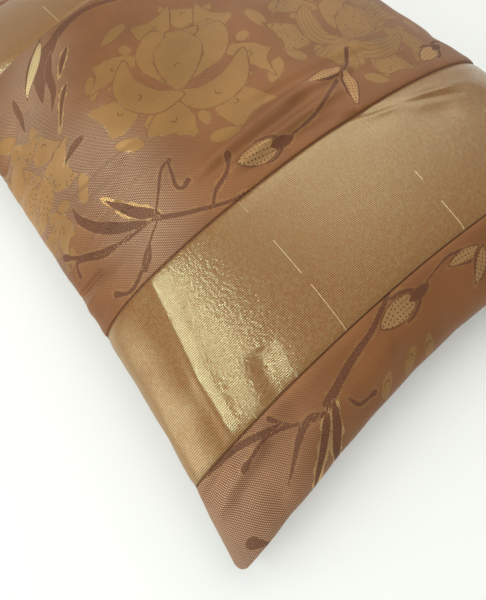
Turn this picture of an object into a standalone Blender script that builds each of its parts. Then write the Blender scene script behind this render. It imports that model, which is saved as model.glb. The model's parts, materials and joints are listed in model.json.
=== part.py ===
"""A filled cushion cover, 50 x 70 cm, lying on its back.

The front is pieced from five cut panels that run across the cushion: a floral strip, a gold band,
the floral centre, a second gold band and a second strip. Each panel is a thin curved solid that lies
on the crown of the filled body. The body is the plain back cloth with the filling inside it.
Lengths are in metres, +Z is up, and the origin is on the floor under the middle of the cushion.
"""

import bpy
import numpy as np

# Cut sizes of the cloth, seam to seam.
CUT_WIDTH = 0.50
CUT_LENGTH = 0.70
STRIP_WIDTH = 0.065
BAND_WIDTH = 0.1375

# The filled form. The cloth takes up width in its crown, so the corners stand inside the cut size.
CORNER_X = 0.238
CORNER_Y = 0.341
SIDE_PULL = 0.019
END_PULL = 0.029
SIDE_PULL_POWER = 4.5
END_PULL_POWER = 1.8
PULL_FALLOFF = 3.0
SEAM_HEIGHT = 0.048
CORNER_DROP = 0.030
CORNER_DROP_POWER = 8.0
CORNER_RADIUS = 0.008
FRONT_CROWN = 0.0675
BACK_CROWN = 0.060
CROWN_POWER = 1.75
CROWN_ROUNDNESS = 0.58

# Cloth and the gaps between pieces.
CLOTH = 0.0018
GAP = 0.0003
EDGE_OUT = 0.9
EDGE_UP = 0.45

# Seam channels between the panels.
CHANNEL_DEPTH = 0.0016
CHANNEL_REACH = 0.006

# Main folds of the front: start and end in the cloth, from the near left corner, then width and
# height. A height below zero is a trough.
FOLDS = (
    # start_x, start_y, end_x, end_y, width, height
    (0.010, 0.268, 0.128, 0.276, 0.010, 0.0024),
    (0.038, 0.288, 0.112, 0.298, 0.010, 0.0020),
    (0.001, 0.243, 0.092, 0.236, 0.010, -0.0030),
    (0.150, 0.238, 0.330, 0.244, 0.014, 0.0024),
    (0.268, 0.263, 0.385, 0.257, 0.013, 0.0020),
    (0.150, 0.330, 0.340, 0.352, 0.024, 0.0022),
    (0.272, 0.198, 0.376, 0.160, 0.011, -0.0018),
    (0.300, 0.180, 0.440, 0.172, 0.013, 0.0016),
    (0.001, 0.408, 0.085, 0.436, 0.013, -0.0032),
    (0.020, 0.034, 0.110, 0.050, 0.013, -0.0022),
    (0.060, 0.016, 0.210, 0.034, 0.013, 0.0020),
    (0.330, 0.014, 0.400, 0.062, 0.017, -0.0030),
    (0.400, 0.600, 0.470, 0.690, 0.018, -0.0030),
    (0.080, 0.640, 0.020, 0.690, 0.016, -0.0030),
    (0.490, 0.420, 0.400, 0.450, 0.016, -0.0030),
    (0.330, 0.470, 0.450, 0.520, 0.018, 0.0022),
)

# Puckers where the edge seam gathers the cloth: spacing, depth and reach into the panel.
PUCKER_SPACING = (0.038, 0.064)
PUCKER_DEPTH = (0.0010, 0.0030)
PUCKER_REACH = (0.035, 0.075)
PUCKER_WIDTH = 0.011
PUCKER_ON_SEAM = 0.25
PUCKER_DEEPEST = 0.018
PUCKER_FREE_CORNER = 0.055
PUCKER_SEED = 11

# Mesh density.
COLUMNS = 32
STRIP_ROWS = 6
BAND_ROWS = 9
CENTRE_ROWS = 18
SLOPE_STEP = 1e-3

FLORAL_BROWN = (0.33, 0.165, 0.083, 1.0)
BAND_GOLD = (0.42, 0.245, 0.085, 1.0)
BACK_BROWN = (0.30, 0.150, 0.078, 1.0)


def smooth(share):
    """A soft step from 0 to 1."""
    share = np.clip(share, 0.0, 1.0)
    return share * share * (3.0 - 2.0 * share)


def rounded_corner(x, y):
    """Cloth coordinates from the middle, with the square corners of the cut rounded off."""
    inner_x = CUT_WIDTH / 2 - CORNER_RADIUS
    inner_y = CUT_LENGTH / 2 - CORNER_RADIUS
    over_x = np.clip((np.abs(x) - inner_x) / CORNER_RADIUS, 0.0, 1.0)
    over_y = np.clip((np.abs(y) - inner_y) / CORNER_RADIUS, 0.0, 1.0)
    cut_x = over_x * (1.0 - np.sqrt(1.0 - over_y**2 / 2.0)) * CORNER_RADIUS
    cut_y = over_y * (1.0 - np.sqrt(1.0 - over_x**2 / 2.0)) * CORNER_RADIUS
    return x - np.sign(x) * cut_x, y - np.sign(y) * cut_y


def crown_share(u, v):
    """How full the cushion is at a place, from 0 on the edge seam to 1 in the middle."""
    across = np.clip(1.0 - np.abs(u) ** CROWN_POWER, 0.0, None)
    along = np.clip(1.0 - np.abs(v) ** CROWN_POWER, 0.0, None)
    return (across * along) ** CROWN_ROUNDNESS


def seam_plane(u, v):
    """Height of the edge seam's plane, which drops at the four corners."""
    return SEAM_HEIGHT - CORNER_DROP * (np.abs(u) * np.abs(v)) ** CORNER_DROP_POWER


def plan(u, v):
    """Where a place in the cloth lies seen from above: the sides pull in between the corners."""
    side = SIDE_PULL * (1.0 - np.abs(v) ** SIDE_PULL_POWER)
    end = END_PULL * (1.0 - np.abs(u) ** END_PULL_POWER)
    x = CORNER_X * u - side * np.sign(u) * np.abs(u) ** PULL_FALLOFF
    y = CORNER_Y * v - end * np.sign(v) * np.abs(v) ** PULL_FALLOFF
    return x, y


def crowned(x, y, crown):
    """Points of the smooth crowned form at cloth coordinates from the middle."""
    cloth_x, cloth_y = rounded_corner(x, y)
    # The share reads the square cut, so that the rounded corners lie in the seam's plane.
    share = crown_share(2 * x / CUT_WIDTH, 2 * y / CUT_LENGTH)
    u, v = 2 * cloth_x / CUT_WIDTH, 2 * cloth_y / CUT_LENGTH
    plan_x, plan_y = plan(u, v)
    return np.stack([plan_x, plan_y, seam_plane(u, v) + crown * share], axis=-1)


def edge_direction(x, y):
    """The outward direction of the outline in plan, for places on the edge."""
    at_side = np.isclose(np.abs(x), CUT_WIDTH / 2)
    at_end = np.isclose(np.abs(y), CUT_LENGTH / 2)
    out = np.stack([np.where(at_side, np.sign(x), 0.0), np.where(at_end, np.sign(y), 0.0)], axis=-1)
    length = np.linalg.norm(out, axis=-1, keepdims=True)
    return out / np.maximum(length, 1e-9), (at_side | at_end)


def front_normals(x, y):
    """Outward directions of the front. On the edge they lean out, as the turned cloth does."""
    limit_x, limit_y = CUT_WIDTH / 2, CUT_LENGTH / 2
    right = np.clip(x + SLOPE_STEP, -limit_x, limit_x)
    left = np.clip(x - SLOPE_STEP, -limit_x, limit_x)
    far = np.clip(y + SLOPE_STEP, -limit_y, limit_y)
    near = np.clip(y - SLOPE_STEP, -limit_y, limit_y)
    along_x = crowned(right, y, FRONT_CROWN) - crowned(left, y, FRONT_CROWN)
    along_y = crowned(x, far, FRONT_CROWN) - crowned(x, near, FRONT_CROWN)
    normal = np.cross(along_x, along_y)
    normal /= np.maximum(np.linalg.norm(normal, axis=-1, keepdims=True), 1e-12)
    out, on_edge = edge_direction(x, y)
    lean = np.concatenate([EDGE_OUT * out, np.full(out.shape[:-1] + (1,), EDGE_UP)], axis=-1)
    return np.where(on_edge[..., None], lean, normal)


def fold_relief(x, y):
    """Height of the main folds over the smooth crown."""
    relief = np.zeros_like(x)
    for start_x, start_y, end_x, end_y, width, height in FOLDS:
        from_x = x + CUT_WIDTH / 2 - start_x
        from_y = y + CUT_LENGTH / 2 - start_y
        run_x, run_y = end_x - start_x, end_y - start_y
        length = np.hypot(run_x, run_y)
        along = (from_x * run_x + from_y * run_y) / length**2
        aside = (from_x * run_y - from_y * run_x) / length
        taper = smooth(4.0 * along + 0.4) * smooth(4.0 * (1.0 - along) + 0.4)
        relief += height * taper * np.exp(-((aside / width) ** 2))
    return relief


def pucker_places(rng, length):
    """Uneven places along one edge, each with a depth and a reach."""
    places = []
    place = PUCKER_FREE_CORNER
    while place < length - PUCKER_FREE_CORNER:
        places.append((place - length / 2, rng.uniform(*PUCKER_DEPTH), rng.uniform(*PUCKER_REACH)))
        place += rng.uniform(*PUCKER_SPACING)
    return places


def pucker_relief(x, y):
    """Troughs that run in from the edge seam, where it gathers the cloth."""
    rng = np.random.RandomState(PUCKER_SEED)
    relief = np.zeros_like(x)
    edges = (
        (y, CUT_WIDTH / 2 + x, CUT_LENGTH),
        (y, CUT_WIDTH / 2 - x, CUT_LENGTH),
        (x, CUT_LENGTH / 2 + y, CUT_WIDTH),
        (x, CUT_LENGTH / 2 - y, CUT_WIDTH),
    )
    for along, inward, length in edges:
        for place, depth, reach in pucker_places(rng, length):
            rise = PUCKER_ON_SEAM + (1.0 - PUCKER_ON_SEAM) * smooth(inward / PUCKER_DEEPEST)
            fade = rise * smooth(1.0 - inward / reach)
            relief -= depth * fade * np.exp(-(((along - place) / PUCKER_WIDTH) ** 2))
    return relief


def channel_relief(y):
    """The dip of the cloth into the seams between the panels."""
    relief = np.zeros_like(y)
    for seam in panel_seams():
        relief -= CHANNEL_DEPTH * np.exp(-(((y - seam) / CHANNEL_REACH) ** 2))
    return relief


def panel_seams():
    """Where the seams between the panels lie, along the cushion from its middle."""
    outer = CUT_LENGTH / 2 - STRIP_WIDTH
    inner = outer - BAND_WIDTH
    return (-outer, -inner, inner, outer)


def front_surface(x, y, lift):
    """The front at a height above the inner face of its cloth."""
    normal = front_normals(x, y)
    relief = fold_relief(x, y) + pucker_relief(x, y) + channel_relief(y)
    return crowned(x, y, FRONT_CROWN) + (relief + lift)[..., None] * normal


def body_top(x, y):
    """The filled body's face under the panels, a gap below them."""
    points = front_surface(x, y, np.full_like(x, -GAP))
    points[..., 2] -= GAP
    return points


def body_back(x, y):
    """The plain back, flat where it rests on the floor."""
    rim = front_surface(x, y, np.full_like(x, CLOTH))
    rim[..., 2] = front_surface(x, y, np.zeros_like(x))[..., 2] - GAP
    _, on_edge = edge_direction(x, y)
    middle = crowned(x, y, -BACK_CROWN)
    middle[..., 2] = np.maximum(middle[..., 2] - pucker_relief(x, y), 0.0)
    return np.where(on_edge[..., None], rim, middle)


def spread(count):
    """Evenly counted places from -1 to 1, closer together near both ends."""
    even = np.linspace(-1.0, 1.0, count + 1)
    eased = np.sin(even * np.pi / 2)
    return 0.45 * even + 0.55 * eased


def column_places():
    """Cloth coordinates of the mesh columns, which all the pieces share."""
    return spread(COLUMNS) * CUT_WIDTH / 2


def row_places(start, end, count):
    """Cloth coordinates of a panel's mesh rows, between its two seams or edges."""
    return (start + end) / 2 + spread(count) * (end - start) / 2


def panel_table():
    """Each front panel's name, its two ends along the cushion and its count of rows."""
    outer = CUT_LENGTH / 2 - STRIP_WIDTH
    inner = outer - BAND_WIDTH
    edge = CUT_LENGTH / 2
    half_gap = GAP / 2
    return (
        ("near_strip", -edge, -outer - half_gap, STRIP_ROWS),
        ("near_gold_band", -outer + half_gap, -inner - half_gap, BAND_ROWS),
        ("centre_panel", -inner + half_gap, inner - half_gap, CENTRE_ROWS),
        ("far_gold_band", inner + half_gap, outer - half_gap, BAND_ROWS),
        ("far_strip", outer + half_gap, edge, STRIP_ROWS),
    )


def closed_faces(columns, rows):
    """Faces of a closed slab of two grids: the upper one first, then the lower one."""
    wide = columns + 1
    lower = wide * (rows + 1)
    faces = []
    for row in range(rows):
        for column in range(columns):
            a = row * wide + column
            b, c, d = a + 1, a + wide + 1, a + wide
            faces += [(a, b, c), (a, c, d)]
            faces += [(lower + c, lower + b, lower + a), (lower + d, lower + c, lower + a)]
    ring = [column for column in range(wide)]
    ring += [row * wide + columns for row in range(1, rows + 1)]
    ring += [rows * wide + column for column in range(columns - 1, -1, -1)]
    ring += [row * wide for row in range(rows - 1, 0, -1)]
    for here, there in zip(ring, ring[1:] + ring[:1]):
        faces.append((lower + here, lower + there, there, here))
    return faces


def cloth_material(name, colour, roughness):
    """A plain satin cloth."""
    material = bpy.data.materials.new(name)
    material.use_nodes = True
    shader = material.node_tree.nodes["Principled BSDF"]
    shader.inputs["Base Color"].default_value = colour
    shader.inputs["Roughness"].default_value = roughness
    return material


def solid_between(name, upper, lower, material):
    """One closed solid between two grids of points."""
    rows, columns = upper.shape[0] - 1, upper.shape[1] - 1
    points = np.concatenate([upper.reshape(-1, 3), lower.reshape(-1, 3)])
    mesh = bpy.data.meshes.new(name)
    mesh.from_pydata(points.tolist(), [], closed_faces(columns, rows))
    mesh.shade_smooth()
    mesh.materials.append(material)
    mesh.validate()
    piece = bpy.data.objects.new(name, mesh)
    bpy.context.scene.collection.objects.link(piece)
    return piece


def front_panel(name, start, end, rows, material):
    """One panel of the front, as thick as its cloth and lining together."""
    x, y = np.meshgrid(column_places(), row_places(start, end, rows))
    inner = front_surface(x, y, np.zeros_like(x))
    outer = front_surface(x, y, np.full_like(x, CLOTH))
    return solid_between(name, outer, inner, material)


def filled_body(material):
    """The back cloth with the filling, one solid up to the inside of the front panels."""
    rows = [row_places(start, end, count) for _, start, end, count in panel_table()]
    x, y = np.meshgrid(column_places(), np.concatenate(rows))
    return solid_between("filled_back", body_top(x, y), body_back(x, y), material)


def clear_scene():
    for old in list(bpy.data.objects):
        bpy.data.objects.remove(old)


def main():
    clear_scene()
    floral = cloth_material("floral_jacquard", FLORAL_BROWN, 0.45)
    gold = cloth_material("gold_rib", BAND_GOLD, 0.38)
    back = cloth_material("back_cloth", BACK_BROWN, 0.6)
    for name, start, end, rows in panel_table():
        cloth = gold if "gold" in name else floral
        front_panel(name, start, end, rows, cloth)
    filled_body(back)


main()
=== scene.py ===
# %% [markdown]
# # A filled cushion with a pieced jacquard front
#
# The real object is a cushion cover of 50 x 70 cm with a soft filling, seen from close above one
# corner. Its front is sewn from five crosswise panels: a narrow floral strip, a gold ribbed band,
# a wide floral centre, and then a second band and a second strip. This script dresses the packed
# solids of that cushion with cloth: first the filled form, then the woven flowers, then the finish
# of each cloth, then threads, light and camera.

# %% Load the frame
import json
import math

import bpy
import numpy as np
from mathutils import Matrix

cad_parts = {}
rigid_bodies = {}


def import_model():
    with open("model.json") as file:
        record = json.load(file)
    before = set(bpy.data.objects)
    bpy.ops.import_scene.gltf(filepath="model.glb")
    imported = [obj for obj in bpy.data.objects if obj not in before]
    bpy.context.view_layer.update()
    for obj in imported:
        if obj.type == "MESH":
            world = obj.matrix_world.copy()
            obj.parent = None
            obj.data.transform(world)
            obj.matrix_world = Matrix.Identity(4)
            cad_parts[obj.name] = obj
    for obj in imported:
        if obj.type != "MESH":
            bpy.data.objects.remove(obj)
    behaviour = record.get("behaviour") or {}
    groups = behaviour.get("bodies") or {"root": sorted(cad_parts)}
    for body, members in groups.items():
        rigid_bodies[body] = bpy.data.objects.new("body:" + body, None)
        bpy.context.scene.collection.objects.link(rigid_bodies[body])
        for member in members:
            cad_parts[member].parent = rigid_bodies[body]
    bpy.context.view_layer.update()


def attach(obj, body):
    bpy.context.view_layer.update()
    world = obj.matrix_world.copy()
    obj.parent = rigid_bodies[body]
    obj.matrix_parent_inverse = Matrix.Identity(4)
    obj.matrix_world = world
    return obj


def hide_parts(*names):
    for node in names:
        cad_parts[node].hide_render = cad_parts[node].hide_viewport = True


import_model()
MM = 0.001

# %% [markdown]
# ## The filled form
#
# A cushion is two flat cloths sewn together at their edges and blown up by a filling. The middle
# rises into a crown, and the sides pull in between the corners because the crown takes up cloth.
# Sculpting would give that by eye. Here two short formulas give it, so that every piece of cloth,
# every thread and the back can be placed on the same surface. Places on the cloth are (x, y) in
# metres from its middle, as the cloth was cut, before it was filled.

# %% Sizes of the cut cloth and of the filled form
CUT_WIDTH = 0.50
CUT_LENGTH = 0.70
STRIP_WIDTH = 0.065
BAND_WIDTH = 0.1375

CORNER_X = 0.238
CORNER_Y = 0.341
SIDE_PULL = 0.019
END_PULL = 0.029
SIDE_PULL_POWER = 4.5
END_PULL_POWER = 1.8
PULL_FALLOFF = 3.0
SEAM_HEIGHT = 0.048
CORNER_DROP = 0.030
CORNER_DROP_POWER = 8.0
CORNER_RADIUS = 0.008
FRONT_CROWN = 0.0675
BACK_CROWN = 0.060
CROWN_POWER = 1.75
CROWN_ROUNDNESS = 0.58
CLOTH = 0.0018

# %% The crowned form


def smooth(share):
    """A soft step from 0 to 1."""
    share = np.clip(share, 0.0, 1.0)
    return share * share * (3.0 - 2.0 * share)


def unit(vectors):
    """Directions of the given vectors."""
    return vectors / np.maximum(np.linalg.norm(vectors, axis=-1, keepdims=True), 1e-12)


def rounded_corner(x, y):
    """Places on the cloth, with the square corners of the cut rounded off."""
    over_x = np.clip((np.abs(x) - CUT_WIDTH / 2) / CORNER_RADIUS + 1.0, 0.0, 1.0)
    over_y = np.clip((np.abs(y) - CUT_LENGTH / 2) / CORNER_RADIUS + 1.0, 0.0, 1.0)
    cut_x = over_x * (1.0 - np.sqrt(1.0 - over_y**2 / 2.0)) * CORNER_RADIUS
    cut_y = over_y * (1.0 - np.sqrt(1.0 - over_x**2 / 2.0)) * CORNER_RADIUS
    return x - np.sign(x) * cut_x, y - np.sign(y) * cut_y


def crowned(x, y, crown):
    """Points of the smooth form: the front has a crown above zero and the back one below."""
    across = np.clip(1.0 - np.abs(2 * x / CUT_WIDTH) ** CROWN_POWER, 0.0, None)
    along = np.clip(1.0 - np.abs(2 * y / CUT_LENGTH) ** CROWN_POWER, 0.0, None)
    cloth_x, cloth_y = rounded_corner(x, y)
    u, v = 2 * cloth_x / CUT_WIDTH, 2 * cloth_y / CUT_LENGTH
    side = SIDE_PULL * (1.0 - np.abs(v) ** SIDE_PULL_POWER)
    end = END_PULL * (1.0 - np.abs(u) ** END_PULL_POWER)
    plan_x = CORNER_X * u - side * np.sign(u) * np.abs(u) ** PULL_FALLOFF
    plan_y = CORNER_Y * v - end * np.sign(v) * np.abs(v) ** PULL_FALLOFF
    seam = SEAM_HEIGHT - CORNER_DROP * (np.abs(u) * np.abs(v)) ** CORNER_DROP_POWER
    return np.stack([plan_x, plan_y, seam + crown * (across * along) ** CROWN_ROUNDNESS], axis=-1)


# %% [markdown]
# ## Folds
#
# Filled cloth is never quite smooth. The main folds here were read off the photograph, one row
# each: where a fold starts and ends on the cloth, measured from the near left corner, how wide it
# is and how high. A trough has a height below zero. Between them the edge seam gathers the cloth
# into small uneven puckers, which a loop spreads along each side.

# %% The main folds
FOLDS = (
    # start_x, start_y, end_x, end_y, width, height
    (0.010, 0.268, 0.128, 0.276, 0.010, 0.0024),
    (0.038, 0.288, 0.112, 0.298, 0.010, 0.0020),
    (0.001, 0.243, 0.092, 0.236, 0.010, -0.0030),
    (0.150, 0.238, 0.330, 0.244, 0.014, 0.0024),
    (0.268, 0.263, 0.385, 0.257, 0.013, 0.0020),
    (0.150, 0.330, 0.340, 0.352, 0.024, 0.0022),
    (0.272, 0.198, 0.376, 0.160, 0.011, -0.0018),
    (0.300, 0.180, 0.440, 0.172, 0.013, 0.0016),
    (0.001, 0.408, 0.085, 0.436, 0.013, -0.0032),
    (0.020, 0.034, 0.110, 0.050, 0.013, -0.0022),
    (0.060, 0.016, 0.210, 0.034, 0.013, 0.0020),
    (0.330, 0.014, 0.400, 0.062, 0.017, -0.0030),
    (0.400, 0.600, 0.470, 0.690, 0.018, -0.0030),
    (0.080, 0.640, 0.020, 0.690, 0.016, -0.0030),
    (0.490, 0.420, 0.400, 0.450, 0.016, -0.0030),
    (0.330, 0.470, 0.450, 0.520, 0.018, 0.0022),
)

# Fine folds that only the cloth shows, in the same columns.
FINE_FOLDS = (
    (0.020, 0.258, 0.104, 0.264, 0.0046, 0.0024),
    (0.024, 0.281, 0.108, 0.287, 0.0046, 0.0026),
    (0.052, 0.271, 0.132, 0.279, 0.0040, -0.0020),
    (0.060, 0.294, 0.130, 0.296, 0.0044, -0.0020),
    (0.058, 0.303, 0.128, 0.303, 0.0044, 0.0020),
    (0.060, 0.312, 0.130, 0.309, 0.0050, -0.0020),
    (0.001, 0.247, 0.040, 0.240, 0.0024, -0.0034),
    (0.001, 0.232, 0.046, 0.226, 0.0060, 0.0022),
    (0.180, 0.224, 0.300, 0.229, 0.0050, 0.0022),
    (0.150, 0.233, 0.272, 0.236, 0.0046, -0.0020),
    (0.160, 0.242, 0.280, 0.250, 0.0050, 0.0018),
    (0.190, 0.215, 0.280, 0.211, 0.0050, -0.0016),
    (0.286, 0.205, 0.400, 0.168, 0.0034, -0.0014),
    (0.300, 0.194, 0.410, 0.178, 0.0036, 0.0012),
    (0.230, 0.262, 0.360, 0.252, 0.0070, -0.0030),
    (0.250, 0.240, 0.340, 0.238, 0.0060, -0.0024),
    (0.050, 0.290, 0.140, 0.300, 0.0060, 0.0016),
    (0.001, 0.414, 0.050, 0.424, 0.0060, -0.0030),
    (0.001, 0.398, 0.046, 0.404, 0.0070, 0.0026),
    (0.001, 0.372, 0.060, 0.368, 0.0070, -0.0022),
    (0.004, 0.040, 0.070, 0.052, 0.0060, 0.0026),
    (0.003, 0.054, 0.050, 0.060, 0.0050, -0.0024),
    (0.097, 0.064, 0.106, 0.102, 0.0110, -0.0021),
    (0.073, 0.206, 0.052, 0.110, 0.0060, 0.0007),
    (0.054, 0.122, 0.050, 0.064, 0.0060, 0.0007),
)

# %% Fold and pucker relief
PUCKER_SPACING = (0.038, 0.064)
PUCKER_DEPTH = (0.0010, 0.0030)
PUCKER_REACH = (0.035, 0.075)
PUCKER_WIDTH = 0.011
PUCKER_ON_SEAM = 0.25
PUCKER_DEEPEST = 0.018
PUCKER_FREE_CORNER = 0.055
PUCKER_SEED = 11


def fold_relief(x, y, folds):
    """Height of soft ridges and troughs over the smooth form."""
    relief = np.zeros_like(x)
    for start_x, start_y, end_x, end_y, width, height in folds:
        from_x = x + CUT_WIDTH / 2 - start_x
        from_y = y + CUT_LENGTH / 2 - start_y
        run_x, run_y = end_x - start_x, end_y - start_y
        length = math.hypot(run_x, run_y)
        along = (from_x * run_x + from_y * run_y) / length**2
        aside = (from_x * run_y - from_y * run_x) / length
        taper = smooth(4.0 * along + 0.4) * smooth(4.0 * (1.0 - along) + 0.4)
        relief += height * taper * np.exp(-((aside / width) ** 2))
    return relief


def pucker_relief(x, y):
    """Troughs that run in from the edge seam."""
    rng = np.random.RandomState(PUCKER_SEED)
    relief = np.zeros_like(x)
    edges = (
        (y, CUT_WIDTH / 2 + x, CUT_LENGTH),
        (y, CUT_WIDTH / 2 - x, CUT_LENGTH),
        (x, CUT_LENGTH / 2 + y, CUT_WIDTH),
        (x, CUT_LENGTH / 2 - y, CUT_WIDTH),
    )
    for along, inward, length in edges:
        place = PUCKER_FREE_CORNER
        while place < length - PUCKER_FREE_CORNER:
            depth, reach = rng.uniform(*PUCKER_DEPTH), rng.uniform(*PUCKER_REACH)
            rise = PUCKER_ON_SEAM + (1.0 - PUCKER_ON_SEAM) * smooth(inward / PUCKER_DEEPEST)
            fade = rise * smooth(1.0 - inward / reach)
            aside = (along - place + length / 2) / PUCKER_WIDTH
            relief -= depth * fade * np.exp(-(aside**2))
            place += rng.uniform(*PUCKER_SPACING)
    return relief


# %% [markdown]
# ## The five panels as sheets
#
# Each panel is one sheet of cloth on the form. Its grid follows the weave: the columns run along the
# cushion and the rows across it, about 1.3 mm apart, fine enough to carry the woven pattern later.
# Rows and columns are spaced evenly along the curved surface, not in plan, because the cushion's
# walls are steep and cloth doesn't stretch. At a seam the sheet rolls over and goes down into the
# joint, and at the rim it turns under.

# %% Seams between the panels
OUTER_SEAM = CUT_LENGTH / 2 - STRIP_WIDTH
INNER_SEAM = OUTER_SEAM - BAND_WIDTH
HALF_GAP = 0.00032
CHANNEL_DEPTH = 0.0010
CHANNEL_REACH = 0.005
SEAM_ROLL = 0.0018
OVERHANG = 0.0007
OVERHANG_REACH = 0.009
GRID_STEP = 0.00128
SEAM_STEPS = (0.00012, 0.0004, 0.0009, 0.0016)

# Steps past a sheet's edge, in millimetres: along the cloth, then down into it.
SEAM_TURN = ((0.05, 0.5), (0.07, 1.4), (0.0, 2.6))
RIM_TURN = ((0.55, 0.12), (0.95, 0.5), (1.05, 1.1), (0.8, 1.7))

PANELS = (
    # name, solid, start, end, turn at start, turn at end, cloth
    ("near_strip_cloth", "near_strip", -CUT_LENGTH / 2, -OUTER_SEAM, RIM_TURN, SEAM_TURN, "floral"),
    ("near_band_cloth", "near_gold_band", -OUTER_SEAM, -INNER_SEAM, SEAM_TURN, SEAM_TURN, "gold"),
    ("centre_cloth", "centre_panel", -INNER_SEAM, INNER_SEAM, SEAM_TURN, SEAM_TURN, "floral"),
    ("far_band_cloth", "far_gold_band", INNER_SEAM, OUTER_SEAM, SEAM_TURN, SEAM_TURN, "gold"),
    ("far_strip_cloth", "far_strip", OUTER_SEAM, CUT_LENGTH / 2, SEAM_TURN, RIM_TURN, "floral"),
)

# %% Places on the cloth, evenly spaced along the curved surface


def even_places(start, end, count, line):
    """Evenly spaced places along a line on the form."""
    fine = np.linspace(start, end, 6001)
    steps = np.linalg.norm(np.diff(line(fine), axis=0), axis=1)
    arc = np.concatenate([[0.0], np.cumsum(steps)])
    return np.interp(np.linspace(0.0, arc[-1], count + 1), arc, fine)


def column_places(count):
    """Columns of the grid, from side to side."""
    line = lambda x: crowned(x, np.full_like(x, 0.3 * CUT_LENGTH / 2), FRONT_CROWN)
    return even_places(-CUT_WIDTH / 2, CUT_WIDTH / 2, count, line)


def row_places(start, end, turn_start, turn_end):
    """Rows of one panel's grid, closer together beside its seams."""
    count = int(round((end - start) / GRID_STEP))
    line = lambda y: crowned(np.zeros_like(y), y, FRONT_CROWN)
    places = even_places(start, end, count, line)
    if turn_start is SEAM_TURN:
        inner = places[places > start + HALF_GAP + 1.6 * SEAM_STEPS[-1]]
        places = np.concatenate([start + HALF_GAP + np.array((0.0,) + SEAM_STEPS), inner])
    if turn_end is SEAM_TURN:
        inner = places[places < end - HALF_GAP - 1.6 * SEAM_STEPS[-1]]
        steps = np.array((0.0,) + SEAM_STEPS)[::-1]
        places = np.concatenate([inner, end - HALF_GAP - steps])
    return places


def surface_normals(points):
    """Outward directions of a grid of points."""
    along = np.gradient(points, axis=1)
    across = np.gradient(points, axis=0)
    return unit(np.cross(along, across))


def channel_relief(y):
    """The dip into the seams between the panels, and the rolled edge of the cloth there."""
    relief = np.zeros_like(y)
    for seam in (-OUTER_SEAM, -INNER_SEAM, INNER_SEAM, OUTER_SEAM):
        away = np.abs(y - seam)
        relief -= CHANNEL_DEPTH * np.exp(-((away / CHANNEL_REACH) ** 2))
        roll = np.clip(1.0 - (away - HALF_GAP) / SEAM_ROLL, 0.0, 1.0)
        relief -= 0.7 * SEAM_ROLL * (1.0 - np.sqrt(1.0 - roll**2))
    for seam in (-INNER_SEAM, INNER_SEAM):
        into_centre = np.clip((INNER_SEAM - np.abs(y)) / HALF_GAP, -1.0, 1.0)
        relief += OVERHANG * into_centre * np.exp(-((np.abs(y - seam) / OVERHANG_REACH) ** 2))
    return relief


def front_relief(x, y):
    """Everything that lifts the front from the smooth form."""
    relief = fold_relief(x, y, FOLDS) + fold_relief(x, y, FINE_FOLDS)
    return relief + pucker_relief(x, y) + channel_relief(y)


def front_surface(x, y, lift):
    """Points and outward directions of the front, at a height above the cloth's inner face."""
    base = crowned(x, y, FRONT_CROWN)
    normals = surface_normals(base)
    return base + (front_relief(x, y) + lift)[..., None] * normals, normals


# %% Measures along the cloth, which place its weave


def measured(points, axis, total):
    """Distance along the surface on one axis of a grid, scaled to the size of the cut cloth."""
    steps = np.linalg.norm(np.diff(points, axis=axis), axis=-1)
    lengths = np.cumsum(steps, axis=axis)
    lengths = np.concatenate([np.zeros_like(np.take(lengths, [0], axis)), lengths], axis=axis)
    return lengths * total / np.take(lengths, [-1], axis)


def with_turns(points, normals, cloth, turn_start, turn_end, axis):
    """A grid with its first and last lines turned down past the edge."""
    points, normals, cloth = (np.moveaxis(part, axis, 0) for part in (points, normals, cloth))
    stacks = []
    for edge, inner, turn in ((0, 1, turn_start), (-1, -2, turn_end)):
        outward = unit(points[edge] - points[inner])
        cloth_step = unit(cloth[edge] - cloth[inner])
        reach = 0.0
        lines = []
        for along, down in turn:
            lines.append(points[edge] + MM * (along * outward - down * normals[edge]))
            reach = max(along, down)
            lines[-1] = (lines[-1], normals[edge], cloth[edge] + MM * reach * cloth_step)
        stacks.append(lines[::-1] if edge == 0 else lines)
    whole = []
    for index, middle in enumerate((points, normals, cloth)):
        before = np.array([line[index] for line in stacks[0]])
        after = np.array([line[index] for line in stacks[1]])
        whole.append(np.moveaxis(np.concatenate([before, middle, after]), 0, axis))
    return whole


def panel_grid(start, end, turn_start, turn_end):
    """Points of one panel's sheet, and where each lies on the cut cloth."""
    columns = column_places(int(round(CUT_WIDTH / GRID_STEP)))
    rows = row_places(start, end, turn_start, turn_end)
    x, y = np.meshgrid(columns, rows)
    points, normals = front_surface(x, y, np.full_like(x, CLOTH))
    smooth_form = crowned(x, y, FRONT_CROWN)
    cloth_x = measured(smooth_form, 1, CUT_WIDTH)
    cloth_y = start + CUT_LENGTH / 2 + measured(smooth_form, 0, end - start)
    cloth = np.stack([cloth_x, cloth_y], axis=-1)
    points, normals, cloth = with_turns(points, normals, cloth, turn_start, turn_end, 0)
    points, normals, cloth = with_turns(points, normals, cloth, RIM_TURN, RIM_TURN, 1)
    return points, cloth


# %% A mesh from a grid


def grid_faces(rows, columns):
    """Four-cornered faces of a grid."""
    index = np.arange(rows * columns).reshape(rows, columns)
    corners = (index[:-1, :-1], index[:-1, 1:], index[1:, 1:], index[1:, :-1])
    return np.stack([corner.ravel() for corner in corners], axis=-1)


def mesh_object(name, points, faces):
    """A smooth-shaded mesh object."""
    mesh = bpy.data.meshes.new(name)
    mesh.from_pydata(points.reshape(-1, 3).tolist(), [], faces.tolist())
    mesh.shade_smooth()
    piece = bpy.data.objects.new(name, mesh)
    bpy.context.scene.collection.objects.link(piece)
    return piece


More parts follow.
